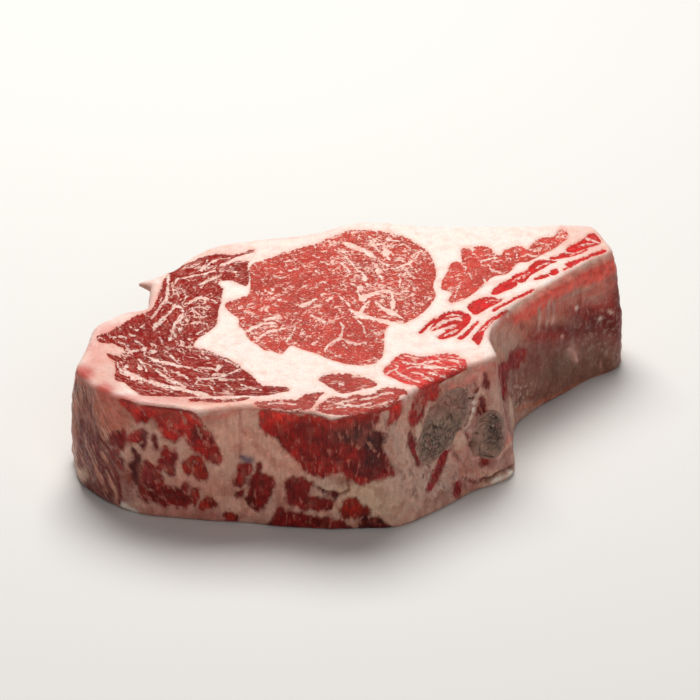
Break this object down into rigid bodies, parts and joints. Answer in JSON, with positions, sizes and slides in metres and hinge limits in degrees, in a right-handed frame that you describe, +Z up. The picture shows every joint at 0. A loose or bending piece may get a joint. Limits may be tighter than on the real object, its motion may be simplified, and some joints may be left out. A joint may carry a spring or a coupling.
{
  "type": "raw rib steak",
  "caption": "thick raw bone-in rib steak lying flat: marbled eye and cap muscles in white fat, with a cut chine bone and a rib running out along one side",
  "frame": {"origin": "middle of the footprint, on the flat underside", "axes": "+X along the longest extent, towards the rib end; +Y towards the back fat; +Z up, the thickness of the cut. The picture looks along +Y, about 28 degrees down"},
  "size_m": [0.205, 0.1567, 0.0505],
  "materials": {
    "lean": "moist raw beef, red, with fine white marbling, soft sheen",
    "fat": "firm raw beef fat, cream white to pinkish, waxy and slightly moist",
    "bone": "sawn raw bone, grey brown, finely porous and damp"
  },
  "bodies": {
    "root": {"fat": "fat", "eye_muscle": "lean", "cap_muscle": "lean", "rib_muscle": "lean", "chine_muscle": "lean", "lens_muscle": "lean", "front_muscle": "lean", "rib_strip_1": "lean", "rib_strip_2": "lean", "rib_strip_3": "lean", "rib_strip_4": "lean", "rib_strip_5": "lean", "rib_strip_6": "lean", "rib_bone": "bone", "vertebra_bone": "bone"}
  },
  "joints": []
}
